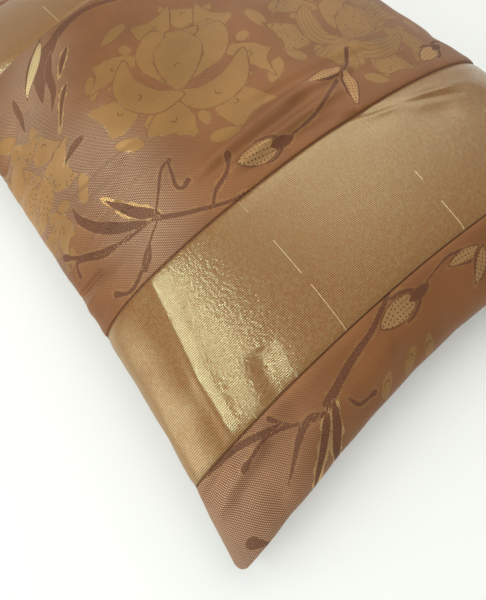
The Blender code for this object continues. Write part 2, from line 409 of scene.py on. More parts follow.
def add_uv(piece, cloth):
    """The piece's own map: places on the cut cloth, in metres."""
    layer = piece.data.uv_layers.new(name="cloth")
    loops = np.empty(len(piece.data.loops), dtype=np.int32)
    piece.data.loops.foreach_get("vertex_index", loops)
    layer.data.foreach_set("uv", cloth.reshape(-1, 2)[loops].astype(np.float32).ravel())


# %% Make the panels
panel_pieces = {}
panel_points = {}
panel_cloth = {}
for name, solid, start, end, turn_start, turn_end, cloth_kind in PANELS:
    points, cloth = panel_grid(start, end, turn_start, turn_end)
    piece = mesh_object(name, points, grid_faces(*points.shape[:2]))
    add_uv(piece, cloth)
    panel_pieces[name] = piece
    panel_points[name] = points
    panel_cloth[name] = cloth
    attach(piece, "root")
    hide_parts(solid)
    print(name, points.shape[:2], "grid,", 2 * len(piece.data.polygons), "triangles")

# %% [markdown]
# ## The back and the filling
#
# The back is one plain cloth, sewn to the front along the rim. With the filling it is one closed,
# padded body under the panels. It sags a little flat where it rests. The same grid serves its top,
# which the panels hide, and its back, and a ring of faces closes the two at the rim.

# %% The padded body
BODY_COLUMNS = 150
BODY_ROWS = 210
BODY_UNDER = 0.0012
BACK_LIFT = 0.0010
REST_SOFTNESS = 0.003


def padded_body():
    """The back cloth and the filling as one closed mesh."""
    columns = column_places(BODY_COLUMNS)
    line = lambda y: crowned(np.zeros_like(y), y, FRONT_CROWN)
    rows = even_places(-CUT_LENGTH / 2, CUT_LENGTH / 2, BODY_ROWS, line)
    x, y = np.meshgrid(columns, rows)
    top, _ = front_surface(x, y, np.full_like(x, CLOTH - BODY_UNDER))
    base = crowned(x, y, -BACK_CROWN)
    normals = -surface_normals(base)
    under = base + (pucker_relief(x, y) + BACK_LIFT)[..., None] * normals
    height = under[..., 2]
    under[..., 2] = 0.5 * (height + np.sqrt(height**2 + REST_SOFTNESS**2))
    count = x.size
    upper_faces = grid_faces(*x.shape)
    lower_faces = grid_faces(*x.shape)[:, ::-1] + count
    index = np.arange(count).reshape(x.shape)
    ring = np.concatenate([index[0, :-1], index[:-1, -1], index[-1, :0:-1], index[:0:-1, 0]])
    after = np.roll(ring, -1)
    side_faces = np.stack([ring + count, after + count, after, ring], axis=-1)
    points = np.concatenate([top.reshape(-1, 3), under.reshape(-1, 3)])
    piece = mesh_object("back_and_filling", points, np.concatenate([upper_faces, lower_faces, side_faces]))
    cloth = np.stack([x + CUT_WIDTH / 2, y + CUT_LENGTH / 2], axis=-1).reshape(-1, 2)
    add_uv(piece, np.concatenate([cloth, cloth]))
    return piece


body_piece = padded_body()
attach(body_piece, "root")
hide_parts("filled_back")
print("body:", 2 * len(body_piece.data.polygons), "triangles")

# %% [markdown]
# ## The woven flowers
#
# In a jacquard cloth the pattern is woven, not printed: at each crossing another yarn comes to the
# front. An image could hold that, but it would blur close up. Here each motif is drawn as strokes
# with a changing width, and each grid point keeps its distance to the nearest stroke. The distance
# changes evenly from point to point, so the material can cut a sharp edge from it at any scale.
# Three distances are kept: gold petals, mauve leaves and stems, and pale buds. Each point also
# keeps where it lies within its own petal, which places the small curl and the dots on it.

# %% Drawing strokes as distances
FAR_AWAY = 12.0
HALO = 1.5
PETAL_FOOT = 0.10
PETAL_ROUNDING = 3.0
PETAL_WOBBLE = 1.3
STROKE_POINTS = 44
# Places where the weave is pulled open, and where painted sheen and painted sunlight lie on the cloth.
OPEN_WEAVE_AND_LIT_PLACES = (
    # x, y, reach in millimetres on the cut cloth
    (0, 10, 88), (500, 0, 90), (0, 700, 100), (500, 700, 90), (95, 232, 38), (108, 290, 36),
    (100, 335, 36), (70, 420, 44), (112, 468, 34), (20, 346, 50),
)
WOBBLE_SEED = 5


def curve_through(path, count):
    """Points evenly counted along a smooth curve through a few given ones."""
    path = np.array(path, dtype=float)
    if len(path) == 2:
        share = np.linspace(0.0, 1.0, count)[:, None]
        return path[0] * (1.0 - share) + path[1] * share
    padded = np.concatenate([[2 * path[0] - path[1]], path, [2 * path[-1] - path[-2]]])
    places = np.linspace(0.0, len(path) - 1.0, count)
    first = np.minimum(places.astype(int), len(path) - 2)
    t = (places - first)[:, None]
    a, b, c, d = (padded[first + step] for step in range(4))
    return 0.5 * (2 * b + (c - a) * t + (2 * a - 5 * b + 4 * c - d) * t**2
                  + (3 * b - a - 3 * c + d) * t**3)


WIDTHS = {
    # How wide a stroke is along its length, as a share of its widest
    "leaf": lambda t: np.sin(np.pi * t**0.9),
    "blade": lambda t: np.sin(np.pi * t**0.75) ** 0.9,
    "bud": lambda t: np.sin(np.pi * t**0.85) ** 0.8,
    "bowl": lambda t: np.sin(np.pi * t) ** 0.75,
    "stem": lambda t: 0.45 + 0.55 * t,
    "curl": lambda t: 0.30 + 0.20 * np.sin(np.pi * t) + 0.50 * smooth((t - 0.80) / 0.2),
}


class Pattern:
    """The distances of every grid point of one cloth to the woven motifs, in millimetres."""

    def __init__(self, cloth):
        self.shape = cloth.shape[:2]
        self.x = cloth[..., 0].ravel() / MM
        self.y = cloth[..., 1].ravel() / MM
        self.fields = {name: np.full(self.x.size, FAR_AWAY) for name in ("gold", "mauve", "pale")}
        self.within = np.zeros((self.x.size, 3))
        self.style = np.zeros((self.x.size, 3))
        rng = np.random.RandomState(WOBBLE_SEED)
        self.wobble = np.zeros(self.x.size)
        for _ in range(7):
            angle, length = rng.uniform(0, 2 * np.pi), rng.uniform(7.0, 15.0)
            across = self.x * math.cos(angle) + self.y * math.sin(angle)
            self.wobble += np.sin(2 * np.pi * across / length + rng.uniform(0, 2 * np.pi)) / 7

    def lay(self, field, near, distance, halo, within, style):
        """Put a shape over what is there, with a gap of ground round it."""
        for values in self.fields.values():
            values[near] = np.maximum(values[near], halo - distance)
        values = self.fields[field]
        owned = distance < values[near]
        values[near] = np.minimum(values[near], distance)
        self.within[near[owned]] = within[owned]
        self.style[near[owned]] = style

    def stroke(self, field, path, width, shape, style=(0, 0, 0), halo=HALO):
        """Draw a stroke with a changing width."""
        centre = curve_through(path, STROKE_POINTS)
        share = np.linspace(0.0, 1.0, len(centre))
        radius = width / 2 * WIDTHS[shape](share)
        margin = width / 2 + FAR_AWAY
        low, high = centre.min(axis=0) - margin, centre.max(axis=0) + margin
        near = np.flatnonzero((self.x > low[0]) & (self.x < high[0])
                              & (self.y > low[1]) & (self.y < high[1]))
        if not near.size:
            return
        to_x = self.x[near, None] - centre[None, :, 0]
        to_y = self.y[near, None] - centre[None, :, 1]
        gaps = np.hypot(to_x, to_y) - radius
        closest = gaps.argmin(axis=1)
        rows = np.arange(near.size)
        run = unit(np.gradient(centre, axis=0))[closest]
        from_x, from_y = to_x[rows, closest], to_y[rows, closest]
        length = np.linalg.norm(np.diff(centre, axis=0), axis=1).sum()
        along = (share[closest] - 0.5) * length + from_x * run[:, 0] + from_y * run[:, 1]
        aside = from_y * run[:, 0] - from_x * run[:, 1]
        within = np.stack([along, aside, np.full(near.size, length)], axis=-1)
        self.lay(field, near, gaps[rows, closest], halo, within, style)

    def petal(self, foot, angle, length, width, bend, flare, style):
        """Draw a broad gold petal. With a flare its two outer corners stand out, without one it is a dome."""
        turn_x, turn_y = math.cos(angle), math.sin(angle)
        from_x, from_y = self.x - foot[0], self.y - foot[1]
        near = np.flatnonzero(np.hypot(from_x, from_y) < length + width + FAR_AWAY)
        if not near.size:
            return
        along = from_x[near] * turn_x + from_y[near] * turn_y
        aside = from_y[near] * turn_x - from_x[near] * turn_y
        aside = aside - bend * along * np.abs(along) / length
        share = np.clip(along / length, 0.0, 1.0)
        side = width / 2 * (PETAL_FOOT + (1.0 - PETAL_FOOT) * np.sin(1.75 * share) ** 0.9)
        across = 2.0 * aside / width
        edge = length * (1.0 - flare * (1.0 - across**2))
        beside, beyond = 0.85 * (np.abs(aside) - side), 0.9 * (along - edge)
        corner = np.clip(PETAL_ROUNDING - np.abs(beside - beyond), 0.0, None)
        distance = np.maximum(beside, beyond) + corner**2 / (4.0 * PETAL_ROUNDING)
        distance = np.maximum(distance, -along) + PETAL_WOBBLE * self.wobble[near]
        within = np.stack([along - 0.5 * length, aside, np.full(near.size, length)], axis=-1)
        self.lay("gold", near, distance, HALO, within, style)

    def open_weave_and_painted_light(self):
        """How far the weave is pulled open, and where light is painted on: near the cushion's corners and over
        its left shoulder.
        """
        share = np.zeros(self.x.size)
        for x, y, reach in OPEN_WEAVE_AND_LIT_PLACES:
            share += np.exp(-((self.x - x) ** 2 + (self.y - y) ** 2) / reach**2)
        return np.clip(share, 0.0, 1.0)

    def keep_on(self, piece):
        """Write the distances to the piece's points."""
        layer = piece.data.attributes.new("open_weave_and_painted_light", "FLOAT", "POINT")
        layer.data.foreach_set("value", self.open_weave_and_painted_light().astype(np.float32))
        for name, values in self.fields.items():
            layer = piece.data.attributes.new(name, "FLOAT", "POINT")
            layer.data.foreach_set("value", np.clip(values, -FAR_AWAY, FAR_AWAY).astype(np.float32))
        for name, values in (("within", self.within), ("style", self.style)):
            layer = piece.data.attributes.new(name, "FLOAT_VECTOR", "POINT")
            layer.data.foreach_set("vector", values.astype(np.float32).ravel())


# %% [markdown]
# ## Motifs
#
# The cloth has three kinds of motif, all of them old and common in silk weaving: a many-petalled
# peony in gold, a pale spotted bud in a mauve cup, and mauve leaves on curving stems. Each is a
# function of its place and size. A flower is drawn from its outer ring inwards, so that inner
# petals lie over outer ones, and a seeded random turn makes every petal a little different.

# %% Motif functions
PLAIN, CURLED, SPOTTED, VEINED = (1, 1, 0), (0, 0, 0), (1, 0, 0), (0, 1, 0)
PALE_EDGED = (0, 0, 1)

# One half of the flower in shares of its radius, from its back petals to its front ones. The flower's
# own axis points up. A petal beside the axis has a twin on the other side.
PEONY = (
    # foot across, foot up, direction in degrees, length, width, bend, flare
    (0.00, 0.54, 90, 0.42, 0.62, 0.00, 0.24),
    (0.44, 0.10, 4, 0.56, 0.38, -0.35, 0.12),
    (0.34, -0.36, -44, 0.58, 0.50, 0.20, 0.10),
    (0.18, 0.32, 55, 0.54, 0.50, 0.25, 0.18),
    (0.00, -0.46, -90, 0.46, 0.54, 0.00, 0.08),
    (0.09, -0.28, 62, 0.60, 0.42, 0.12, -0.40),
    (0.00, 0.20, 90, 0.28, 0.34, 0.00, 0.05),
    (0.00, -0.40, 90, 0.56, 0.50, 0.00, -0.45),
)
LOOSE_PETALS = (
    # start across, start up, end across, end up, width
    (0.70, 0.72, 0.92, 0.46, 0.16),
    (1.02, -0.02, 0.96, -0.34, 0.15),
    (0.36, -0.98, 0.66, -0.90, 0.16),
    (0.60, 0.26, 0.70, 0.36, 0.12),
    (0.64, -0.20, 0.76, -0.22, 0.11),
    (0.24, -0.66, 0.32, -0.78, 0.11),
)
WRAPPING_PETAL = ((0.66, 0.14), (0.56, -0.26), (0.28, -0.50), (-0.06, -0.42))
WRAPPING_WIDTH = 0.30


def polar(centre, angle, distance):
    """A place at an angle and a distance from another."""
    return (centre[0] + distance * math.cos(angle), centre[1] + distance * math.sin(angle))


def peony(pattern, centre, radius, turn, styles, seed):
    """A gold peony: a bud of three petals, two that wrap it, and broad ones and loose ones round them."""
    rng = np.random.RandomState(seed)
    axis = turn - math.pi / 2
    cos, sin = math.cos(axis), math.sin(axis)

    def place(across, up, side):
        across = side * across + rng.uniform(-0.025, 0.025)
        up = up + rng.uniform(-0.025, 0.025)
        return (centre[0] + radius * (across * cos - up * sin), centre[1] + radius * (across * sin + up * cos))

    for side in (1, -1):
        for start_x, start_y, end_x, end_y, width in LOOSE_PETALS:
            ends = (place(start_x, start_y, side), place(end_x, end_y, side))
            pattern.stroke("gold", ends, width * radius, "bud", PLAIN)
    for foot_x, foot_y, degrees, length, width, bend, flare in PEONY:
        for side in (1, -1) if foot_x else (1,):
            direction = math.radians(degrees if side == 1 else 180 - degrees) + rng.uniform(-0.1, 0.1)
            size = radius * rng.uniform(0.92, 1.08)
            style = styles[rng.randint(len(styles))]
            pattern.petal(place(foot_x, foot_y, side), axis + direction, length * size, width * size,
                          side * bend, flare, style)
    for side in (1, -1):
        path = [place(across, up, side) for across, up in WRAPPING_PETAL]
        pattern.stroke("gold", path, WRAPPING_WIDTH * radius, "bowl", styles[0])


def spotted_bud(pattern, foot, tip, width):
    """A pale spotted bud in a mauve cup."""
    foot, tip = np.array(foot, float), np.array(tip, float)
    run = tip - foot
    aside = np.array([-run[1], run[0]])
    for side in (1.0, -1.0):
        lobe_end = foot + 0.50 * run + 0.30 * side * aside
        lobe_bend = foot + 0.18 * run + 0.20 * side * aside
        pattern.stroke("mauve", (foot - 0.25 * run, lobe_bend, lobe_end), 0.45 * width, "leaf")
    pattern.stroke("pale", (foot, tip), width, "bud", SPOTTED)
    pattern.stroke("mauve", (foot - 0.45 * run, foot + 0.16 * run), 0.52 * width, "leaf", halo=0.3)


def spotted_pod(pattern, foot, tips, width):
    """Two narrow pale pods that spread from one foot, with a mauve back to each."""
    foot = np.array(foot, float)
    for tip, side in tips:
        run = np.array(tip, float) - foot
        aside = side * unit(np.array([-run[1], run[0]]))
        back = (foot - 0.12 * run, foot + 0.45 * run + 0.42 * width * aside, foot + 1.06 * run)
        pattern.stroke("mauve", back, 0.55 * width, "leaf")
        front = (foot + 0.03 * run, foot + 0.5 * run - 0.10 * width * aside, foot + 0.98 * run)
        pattern.stroke("pale", front, width, "bud", SPOTTED, halo=0.4)


def stem(pattern, path, width, shape="stem"):
    """A mauve stem."""
    pattern.stroke("mauve", path, width, shape, halo=0.5)


def leaf(pattern, path, width, edged=False):
    """A mauve leaf, plain or with a pale outline."""
    pattern.stroke("mauve", path, width, "blade", PALE_EDGED if edged else CURLED, halo=0.8)


def curl(pattern, path, width):
    """A mauve tendril that ends in a round knob."""
    pattern.stroke("mauve", path, width, "curl", halo=0.5)


# %% Lay the motifs out on the centre panel, in millimetres from the near left corner


def centre_motifs(pattern):
    peony(pattern, (352, 474), 66, 0.2, (CURLED, VEINED), seed=13)
    peony(pattern, (492, 424), 58, 0.7, (SPOTTED, CURLED), seed=34)
    peony(pattern, (214, 342), 85, 0.91, (CURLED,), seed=3)
    peony(pattern, (374, 290), 72, 0.6, (VEINED, CURLED, SPOTTED), seed=8)
    peony(pattern, (12, 350), 80, 0.35, (SPOTTED, SPOTTED, CURLED), seed=21)
    stem(pattern, ((250, 198), (173, 203), (136, 218), (108, 236)), 5.0)
    spotted_bud(pattern, (222, 219), (187, 225), 17)
    stem(pattern, ((238, 218), (268, 222), (306, 238)), 4.0)
    spotted_pod(pattern, (322, 246), (((281, 251), 1), ((302, 208), -1)), 10)
    stem(pattern, ((320, 244), (330, 250), (340, 262)), 4.4)
    leaf(pattern, ((114, 236), (98, 254), (84, 282)), 10, edged=True)
    leaf(pattern, ((104, 237), (74, 258), (60, 280), (58, 304)), 10)
    curl(pattern, ((108, 236), (68, 245), (40, 260), (21, 279)), 8)
    curl(pattern, ((84, 243), (56, 246), (38, 258), (28, 263), (21, 256)), 6)
    curl(pattern, ((110, 234), (88, 222), (71, 210), (54, 206), (42, 214)), 7)
    curl(pattern, ((92, 224), (84, 214), (76, 210)), 7)
    curl(pattern, ((110, 238), (124, 252), (138, 266), (148, 268)), 5.5)
    curl(pattern, ((146, 268), (142, 256), (138, 246), (141, 240), (148, 242)), 6.5)
    curl(pattern, ((150, 212), (160, 220), (176, 226), (186, 237)), 7)
    stem(pattern, ((236, 462), (199, 484), (171, 487), (144, 477), (124, 458)), 14.0)
    leaf(pattern, ((152, 482), (126, 464), (107, 440), (95, 412)), 19)
    leaf(pattern, ((134, 464), (118, 440), (111, 416), (96, 394)), 9)
    spotted_pod(pattern, (134, 490), (((84, 436), -1),), 11)
    leaf(pattern, ((150, 454), (136, 440), (124, 424)), 6, edged=True)
    leaf(pattern, ((126, 412), (112, 398), (92, 370)), 5, edged=True)
    leaf(pattern, ((73, 452), (68, 430), (64, 404)), 7)
    leaf(pattern, ((106, 347), (94, 346), (76, 340)), 8)
    stem(pattern, ((352, 398), (330, 400), (300, 420), (276, 450)), 4.5)
    leaf(pattern, ((300, 420), (312, 446), (300, 478)), 12, edged=True)
    curl(pattern, ((330, 400), (350, 376), (384, 372)), 6)
    leaf(pattern, ((446, 372), (468, 352), (492, 338)), 12)
    stem(pattern, ((492, 222), (452, 236), (420, 228)), 4)
    spotted_bud(pattern, (430, 226), (398, 218), 14)


# %% The two narrow strips repeat the lower part of the pattern


def strip_motifs(pattern, flip=False):
    place = lambda points: tuple((x, (700 - y) if flip else y) for x, y in points)
    spotted_bud(pattern, *place(((226, 51), (190, 50))), 16)
    stem(pattern, place(((242, 54), (270, 58), (296, 50))), 3.6)
    foot, tip_a, tip_b = place(((300, 47), (264, 52), (276, 27)))
    spotted_pod(pattern, foot, ((tip_a, 1), (tip_b, -1)), 9)
    stem(pattern, place(((212, 66), (183, 54), (157, 48), (124, 38))), 7.5)
    leaf(pattern, place(((124, 38), (106, 18), (78, -4))), 7, edged=True)
    leaf(pattern, place(((122, 34), (100, 38), (64, 14))), 6)
    leaf(pattern, place(((130, 38), (118, 14), (102, -8))), 8, edged=True)
    curl(pattern, place(((118, 36), (98, 42), (82, 60))), 4.5)
    curl(pattern, place(((100, 42), (74, 52), (48, 49))), 6.5)
    leaf(pattern, place(((92, 50), (50, 62), (10, 64))), 5)
    curl(pattern, place(((140, 30), (146, 20), (160, 18))), 6)
    leaf(pattern, place(((21, 13), (29, 8), (36, -3))), 9)
    for x, y, turn in ((171, 14, 0.9), (198, 15, 0.7), (217, 12, 1.2), (330, 10, 0.6), (352, 16, 0.9)):
        ends = (polar((x, y), turn + math.pi, 11), polar((x, y), turn, 11))
        pattern.stroke("gold", place(ends), 9, "bud", CURLED)
    stem(pattern, place(((500, 30), (450, 44), (410, 30), (372, 34))), 4.5)
    leaf(pattern, place(((450, 44), (470, 58), (500, 64))), 10)
    spotted_bud(pattern, *place(((420, 34), (394, 22))), 13)


# %% Weave the pattern into the floral cloths
for name, lay_out in (
    ("centre_cloth", centre_motifs),
    ("near_strip_cloth", strip_motifs),
    ("far_strip_cloth", lambda pattern: strip_motifs(pattern, flip=True)),
):
    pattern = Pattern(panel_cloth[name])
    lay_out(pattern)
    pattern.keep_on(panel_pieces[name])
    share = {field: round(float((values < 0).mean()), 3) for field, values in pattern.fields.items()}
    print(name, "share of cloth in each yarn:", share)

# %% [markdown]
# ## Finishes
#
# Node trees get long when every node takes four lines, so a few short helpers come first. Each
# helper makes one node and gives back its output, and numbers can stand where sockets go.

# %% Node helpers
SHEEN_ROUGHNESS = 0.4
WHITE = (1.0, 1.0, 1.0, 1.0)
YARN_TINT = (0.86, 1.0, 0.66, 1.0)
SATIN_TINT = (0.94, 1.0, 0.86, 1.0)


class Nodes:
    """Short calls that build one material's node tree."""

    def __init__(self, name):
        self.material = bpy.data.materials.new(name)
        self.material.use_nodes = True
        self.tree = self.material.node_tree
        self.shader = self.tree.nodes["Principled BSDF"]

    def put(self, socket, value):
        if isinstance(value, bpy.types.NodeSocket):
            self.tree.links.new(value, socket)
        else:
            socket.default_value = value

    def math(self, operation, *values, clamp=False):
        node = self.tree.nodes.new("ShaderNodeMath")
        node.operation = operation
        node.use_clamp = clamp
        for socket, value in zip(node.inputs, values):
            self.put(socket, value)
        return node.outputs[0]

    def add(self, *values):
        total = values[0]
        for value in values[1:]:
            total = self.math("ADD", total, value)
        return total

    def times(self, *values):
        total = values[0]
        for value in values[1:]:
            total = self.math("MULTIPLY", total, value)
        return total

    def ramp(self, value, low, high):
        """0 below low, 1 above high, and soft between."""
        node = self.tree.nodes.new("ShaderNodeMapRange")
        node.interpolation_type = "SMOOTHSTEP"
        for name, number in (("Value", value), ("From Min", low), ("From Max", high)):
            self.put(node.inputs[name], number)
        return node.outputs[0]

    def mix(self, share, first, second):
        """A colour between two."""
        node = self.tree.nodes.new("ShaderNodeMix")
        node.data_type = "RGBA"
        node.clamp_factor = True
        self.put(node.inputs[0], share)
        self.put(node.inputs[6], first)
        self.put(node.inputs[7], second)
        return node.outputs[2]

    def attribute(self, name, kind="Fac"):
        node = self.tree.nodes.new("ShaderNodeAttribute")
        node.attribute_name = name
        return node.outputs[kind]

    def parts(self, vector):
        node = self.tree.nodes.new("ShaderNodeSeparateXYZ")
        self.put(node.inputs[0], vector)
        return node.outputs[0], node.outputs[1], node.outputs[2]

    def vector(self, x, y, z=0.0):
        node = self.tree.nodes.new("ShaderNodeCombineXYZ")
        for socket, value in zip(node.inputs, (x, y, z)):
            self.put(socket, value)
        return node.outputs[0]

    def cloth_places(self):
        """The two directions of the cloth, in millimetres."""
        node = self.tree.nodes.new("ShaderNodeUVMap")
        node.uv_map = "cloth"
        x, y, _ = self.parts(node.outputs[0])
        return self.times(x, 1000.0), self.times(y, 1000.0)

    def noise(self, vector, scale, detail=2.0):
        node = self.tree.nodes.new("ShaderNodeTexNoise")
        self.put(node.inputs["Vector"], vector)
        node.inputs["Scale"].default_value = scale
        node.inputs["Detail"].default_value = detail
        return node.outputs[0]

    def cells(self, vector, scale):
        """Distance to the nearest of many scattered points."""
        node = self.tree.nodes.new("ShaderNodeTexVoronoi")
        self.put(node.inputs["Vector"], vector)
        node.inputs["Scale"].default_value = scale
        node.inputs["Randomness"].default_value = 0.65
        return node.outputs[0]

    def wave(self, place, period, phase=0.0):
        """A soft wave from 0 to 1 along one direction."""
        turn = self.math("MULTIPLY_ADD", place, 2 * math.pi / period, phase)
        return self.math("MULTIPLY_ADD", self.math("SINE", turn), 0.5, 0.5)

    def bump(self, height, strength=1.0, under=None):
        """Relief from a height in millimetres."""
        node = self.tree.nodes.new("ShaderNodeBump")
        node.inputs["Strength"].default_value = strength
        node.inputs["Distance"].default_value = MM
        self.put(node.inputs["Height"], height)
        if under is not None:
            self.put(node.inputs["Normal"], under)
        return node.outputs[0]

    def finish(self, colour, roughness, normal=None, metallic=0.0, sheen=0.0, specular=0.5,
               tint=WHITE, index=1.5):
        """Set the shader's sockets. Sheen, specular, tint and refractive index are plain numbers."""
        values = {"Base Color": colour, "Roughness": roughness, "Metallic": metallic,
                  "Sheen Weight": sheen, "Sheen Roughness": SHEEN_ROUGHNESS,
                  "Specular IOR Level": specular, "Specular Tint": tint, "IOR": index}
        for name, value in values.items():
            self.put(self.shader.inputs[name], value)
        if normal is not None:
            self.put(self.shader.inputs["Normal"], normal)
        return self.material


# %% [markdown]
# ## The floral jacquard
#
# The ground is a brown satin with a fine diagonal lattice of raised yarn, about two millimetres
# apart, that shows as pale dots where the light grazes it. Near the corners and over the left
# shoulder those pale dots are painted on as sheen. The motifs lie on that ground. Their
# edges step from yarn to yarn, so each distance is roughened a little before it is cut.

# %% Floral cloth
GROUND_BROWN = (0.262, 0.099, 0.032, 1.0)
GROUND_SHADE_BETWEEN_ROWS = (0.182, 0.064, 0.020, 1.0)
GROUND_DOT = (0.400, 0.208, 0.098, 1.0)
OPEN_GROUND = (0.200, 0.074, 0.030, 1.0)
OPEN_DOT_PAINTED_SHEEN = (0.760, 0.560, 0.400, 1.0)
PETAL_GOLD = (0.275, 0.132, 0.038, 1.0)
PETAL_LIGHT = (0.330, 0.170, 0.052, 1.0)
PETAL_SUNLIT = (0.480, 0.255, 0.100, 1.0)
OUTLINE_BROWN = (0.150, 0.064, 0.018, 1.0)
OUTLINE_GLINT = (0.800, 0.600, 0.290, 1.0)
MAUVE = (0.225, 0.088, 0.044, 1.0)
MAUVE_PAINTED_SHEEN = (0.400, 0.235, 0.150, 1.0)
MAUVE_DARK = (0.105, 0.034, 0.014, 1.0)
PALE_YARN = (0.420, 0.232, 0.098, 1.0)
PALE_SUNLIT = (0.760, 0.580, 0.300, 1.0)
EDGE_YARN = (0.600, 0.370, 0.160, 1.0)
EDGE_STEP = 1.5
ROW_PITCH = 1.35
DOT_PITCH = 1.70


def floral_cloth():
    n = Nodes("floral_jacquard")
    x, y = n.cloth_places()
    diagonal = n.times(n.math("ADD", x, y), 0.7071)
    counter = n.times(n.math("SUBTRACT", x, y), 0.7071)
    row = n.wave(diagonal, ROW_PITCH)
    offset = n.times(n.math("FLOOR", n.math("DIVIDE", diagonal, ROW_PITCH)), math.pi)
    along_row = n.wave(counter, DOT_PITCH, offset)
    dot = n.times(row, along_row)
    place = n.vector(x, y)
    fray = n.math("SUBTRACT", n.noise(place, 0.9, 1.0), 0.5)
    step = n.math("SUBTRACT", n.math("FRACT", n.times(y, 1.0 / EDGE_STEP)), 0.5)

    def inside(name, grow=0.0):
        distance = n.add(n.attribute(name), n.times(fray, 0.8), n.times(step, 0.4), n.times(grow, -1.0))
        return n.ramp(distance, 0.14, -0.14)

    along, aside, length = n.parts(n.attribute("within", "Vector"))
    spotted, veined, edged = n.parts(n.attribute("style", "Vector"))

    # Ground
    tone = n.noise(place, 0.02, 2.0)
    # Painted shade: the ground is darker between the raised rows of the lattice.
    ground = n.mix(n.math("MULTIPLY_ADD", row, 0.5, 0.5), GROUND_SHADE_BETWEEN_ROWS, GROUND_BROWN)
    # Painted light: where the weave opens, the ground is darker and its dots are painted pale as sheen.
    opened_and_lit = n.attribute("open_weave_and_painted_light")
    yarn_dot = n.times(n.ramp(row, 0.40, 0.75), n.ramp(along_row, 0.20, 0.50))
    ground = n.mix(n.times(opened_and_lit, 0.60), ground, OPEN_GROUND)
    ground = n.mix(n.times(yarn_dot, 0.25), ground, GROUND_DOT)
    ground = n.mix(n.times(yarn_dot, opened_and_lit, 0.92), ground, OPEN_DOT_PAINTED_SHEEN)

    # Gold petals, with fine floats across and a small curl on each
    petal = inside("gold")
    floats = n.wave(n.add(y, n.times(fray, 2.0)), 1.15)
    gold = n.mix(floats, PETAL_GOLD, PETAL_LIGHT)
    # Painted sunlight: petals are lighter where the weave opens.
    gold = n.mix(n.times(opened_and_lit, 0.7), gold, PETAL_SUNLIT)
    curl_x = n.add(along, -1.5)
    curl_reach = n.math("SQRT", n.add(n.times(curl_x, curl_x), n.times(aside, aside)))
    curl_line = n.ramp(n.math("ABSOLUTE", n.add(curl_reach, -2.6)), 0.75, 0.35)
    curl_half = n.ramp(n.add(curl_x, n.times(aside, 0.6)), -0.9, 0.3)
    not_spotted, not_veined = (n.math("SUBTRACT", 1.0, share) for share in (spotted, veined))
    curl_mark = n.times(curl_line, curl_half, not_spotted, not_veined)
    ribs = n.math("ABSOLUTE", n.math("SUBTRACT", aside, n.times(aside, along, 0.015)))
    vein_wave = n.ramp(n.wave(ribs, 4.6, 1.6), 0.90, 1.0)
    spots = n.ramp(n.cells(n.vector(along, aside), 0.30), 0.34, 0.20)
    spot_mark = n.times(spots, spotted, not_veined)
    mark = n.math("MAXIMUM", curl_mark, spot_mark)
    mark = n.math("MAXIMUM", mark, n.times(vein_wave, veined, not_spotted))
    gold = n.mix(n.times(mark, 0.85), gold, OUTLINE_BROWN)
    rim = n.ramp(n.math("ABSOLUTE", n.add(n.attribute("gold"), -0.35)), 0.9, 0.2)
    colour = n.mix(n.times(rim, 0.30), ground, OUTLINE_BROWN)
    colour = n.mix(petal, colour, gold)

    # Pale buds with a mauve outline and spots
    bud = inside("pale")
    bud_line = n.times(inside("pale", 1.0), n.math("SUBTRACT", 1.0, bud))
    bud_spots = n.times(n.wave(along, 3.3, 0.8), n.wave(aside, 3.3, 1.57))
    # Painted sunlight: buds are paler where the weave opens.
    pale = n.mix(opened_and_lit, PALE_YARN, PALE_SUNLIT)
    pale = n.mix(n.ramp(bud_spots, 0.62, 0.76), pale, MAUVE_DARK)
    colour = n.mix(n.times(bud_line, 0.8), colour, MAUVE_DARK)
    colour = n.mix(bud, colour, pale)

    # Mauve leaves and stems, some with a pale outline
    leaf_mask = inside("mauve")
    edge_width = n.math("MULTIPLY_ADD", n.ramp(n.noise(place, 0.13, 0.0), 0.3, 0.7), 2.2, 0.5)
    edge_band = n.times(inside("mauve", edge_width), n.math("SUBTRACT", 1.0, leaf_mask))
    stitches = n.ramp(along_row, 0.3, 0.6)
    dotted_edge = n.times(edge_band, n.math("MAXIMUM", n.times(edged, 1.0), n.times(stitches, 0.18)))
    colour = n.mix(dotted_edge, colour, EDGE_YARN)
    line = n.ramp(n.math("ABSOLUTE", n.add(n.attribute("gold"), -0.35)), 1.5, 0.3)
    clumps = n.times(n.ramp(n.noise(place, 0.06, 1.0), 0.46, 0.60), n.ramp(n.noise(place, 0.8, 1.0), 0.46, 0.58))
    # Painted glints on the petal outlines, stronger where the weave opens.
    glint = n.times(line, clumps, n.math("MULTIPLY_ADD", opened_and_lit, 0.8, 0.2))
    colour = n.mix(n.times(glint, 0.6), colour, OUTLINE_GLINT)
    grain = n.noise(n.vector(n.times(x, 0.8), n.times(y, 1.6)), 1.0, 1.0)
    mauve = n.mix(n.ramp(grain, 0.35, 0.75), MAUVE_DARK, MAUVE)
    # Painted sheen: mauve is paler where the weave opens.
    mauve = n.mix(n.times(opened_and_lit, n.ramp(grain, 0.35, 0.75), 0.5), mauve, MAUVE_PAINTED_SHEEN)
    colour = n.mix(leaf_mask, colour, mauve)
    tint = n.mix(n.ramp(tone, 0.3, 0.7), (0.90, 0.89, 0.88, 1.0), (1.08, 1.07, 1.05, 1.0))
    shade = n.tree.nodes.new("ShaderNodeMix")
    shade.data_type = "RGBA"
    shade.blend_type = "MULTIPLY"
    shade.inputs[0].default_value = 1.0
    n.put(shade.inputs[6], colour)
    n.put(shade.inputs[7], tint)

